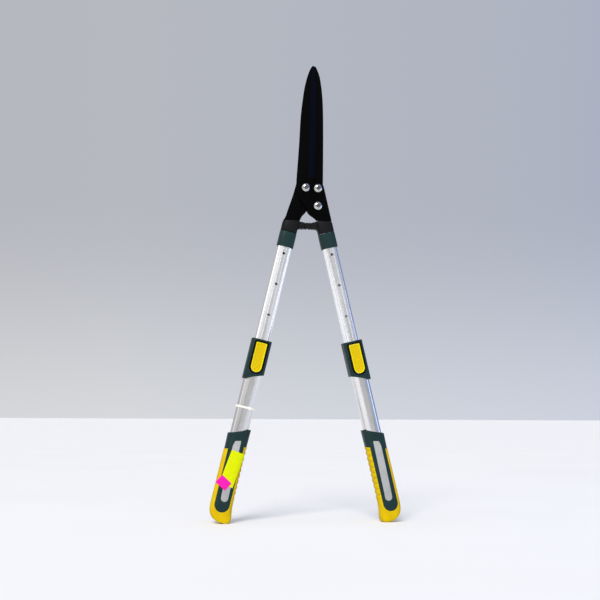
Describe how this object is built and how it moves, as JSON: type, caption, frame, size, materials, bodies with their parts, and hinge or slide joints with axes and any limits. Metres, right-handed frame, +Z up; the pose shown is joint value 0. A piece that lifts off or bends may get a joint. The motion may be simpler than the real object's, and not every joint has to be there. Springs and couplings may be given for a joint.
{
  "type": "telescopic hedge shears",
  "caption": "Hand hedge shears with compound-action black blades, telescopic aluminium handles, rocker-button length locks and soft yellow and green grips.",
  "frame": {"origin": "on the floor midway between the two grip butts, in the middle plane of the handles", "axes": "+Z up along the closed blades, +X to the right seen from the bolt-head side, front (bolt heads, buttons) towards -Y"},
  "size_m": [0.3662, 0.0381, 0.8912],
  "materials": {
    "blade_black": "satin, non-stick coated",
    "zinc_steel": "bright zinc plated",
    "aluminium": "satin anodised",
    "charcoal_plastic": "matte moulded",
    "rubber_black": "matte",
    "green_plastic": "fine moulded grain",
    "yellow_plastic": "semi-gloss",
    "yellow_soft": "soft-touch overmould",
    "grey_soft": "soft-touch",
    "natural_nylon": "translucent nylon",
    "label_yellow": "fluorescent paper",
    "label_pink": "fluorescent paper"
  },
  "bodies": {
    "left_arm": {"rear_blade": "blade_black", "blade_pivot_bolt": "zinc_steel", "blade_pivot_nut": "zinc_steel", "lever_pivot_bolt": "zinc_steel", "lever_pivot_nut": "zinc_steel", "lever_pivot_spacer": "zinc_steel", "left_ferrule": "charcoal_plastic", "left_bumper": "rubber_black", "left_collar": "green_plastic", "left_collar_rivet": "zinc_steel", "left_upper_tube": "aluminium", "left_tube_guide": "charcoal_plastic"},
    "right_arm": {"lever_plate": "blade_black", "drive_pin": "zinc_steel", "drive_pin_washer": "zinc_steel", "drive_pin_nut": "zinc_steel", "right_ferrule": "charcoal_plastic", "right_bumper": "rubber_black", "right_collar": "green_plastic", "right_collar_rivet": "zinc_steel", "right_upper_tube": "aluminium", "right_tube_guide": "charcoal_plastic"},
    "front_blade": {"front_blade": "blade_black"},
    "left_handle": {"left_lower_tube": "aluminium", "left_tube_liner": "charcoal_plastic", "left_lock_sleeve": "green_plastic", "left_lock_bezel": "charcoal_plastic", "left_lock_pivot": "zinc_steel", "left_lock_spring": "zinc_steel", "left_grip_core": "green_plastic", "left_grip_overmould": "yellow_soft", "left_grip_inset_front": "grey_soft", "left_grip_inset_back": "grey_soft", "cable_tie": "natural_nylon", "price_label": "label_yellow", "small_label": "label_pink"},
    "right_handle": {"right_lower_tube": "aluminium", "right_tube_liner": "charcoal_plastic", "right_lock_sleeve": "green_plastic", "right_lock_bezel": "charcoal_plastic", "right_lock_pivot": "zinc_steel", "right_lock_spring": "zinc_steel", "right_grip_core": "green_plastic", "right_grip_overmould": "yellow_soft", "right_grip_inset_front": "grey_soft", "right_grip_inset_back": "grey_soft"},
    "left_lock": {"left_lock_button": "yellow_plastic", "left_lock_pin": "zinc_steel"},
    "right_lock": {"right_lock_button": "yellow_plastic", "right_lock_pin": "zinc_steel"}
  },
  "joints": [
    {"name": "lever_open", "type": "hinge", "parent": "left_arm", "child": "right_arm", "pos_m": [0.0202, 0, 0.6437], "axis": [0, -1, 0], "range_deg": [0, 60]},
    {"name": "blade_open", "type": "hinge", "parent": "left_arm", "child": "front_blade", "pos_m": [-0.0032, 0, 0.645], "axis": [0, -1, 0], "range_deg": [0, 38.46]},
    {"name": "left_telescope", "type": "slide", "parent": "left_arm", "child": "left_handle", "axis": [0.2317, 0, 0.9728], "range_m": [0, 0.1848]},
    {"name": "right_telescope", "type": "slide", "parent": "right_arm", "child": "right_handle", "axis": [-0.2317, 0, 0.9728], "range_m": [0, 0.1848]},
    {"name": "left_lock_press", "type": "hinge", "parent": "left_handle", "child": "left_lock", "pos_m": [-0.09488, -0.017, 0.31323], "axis": [0.9728, 0, -0.2317], "range_deg": [0, 4.5], "stiffness_Nm_per_rad": 0.6, "springref_deg": -5.73, "deforming": ["left_lock_spring"]},
    {"name": "right_lock_press", "type": "hinge", "parent": "right_handle", "child": "right_lock", "pos_m": [0.09488, -0.017, 0.31323], "axis": [0.9728, 0, 0.2317], "range_deg": [0, 4.5], "stiffness_Nm_per_rad": 0.6, "springref_deg": -5.73, "deforming": ["right_lock_spring"]}
  ],
  "couplings": [
    {"joint": "blade_open", "follows": "lever_open", "ratio": 0.641}
  ]
}
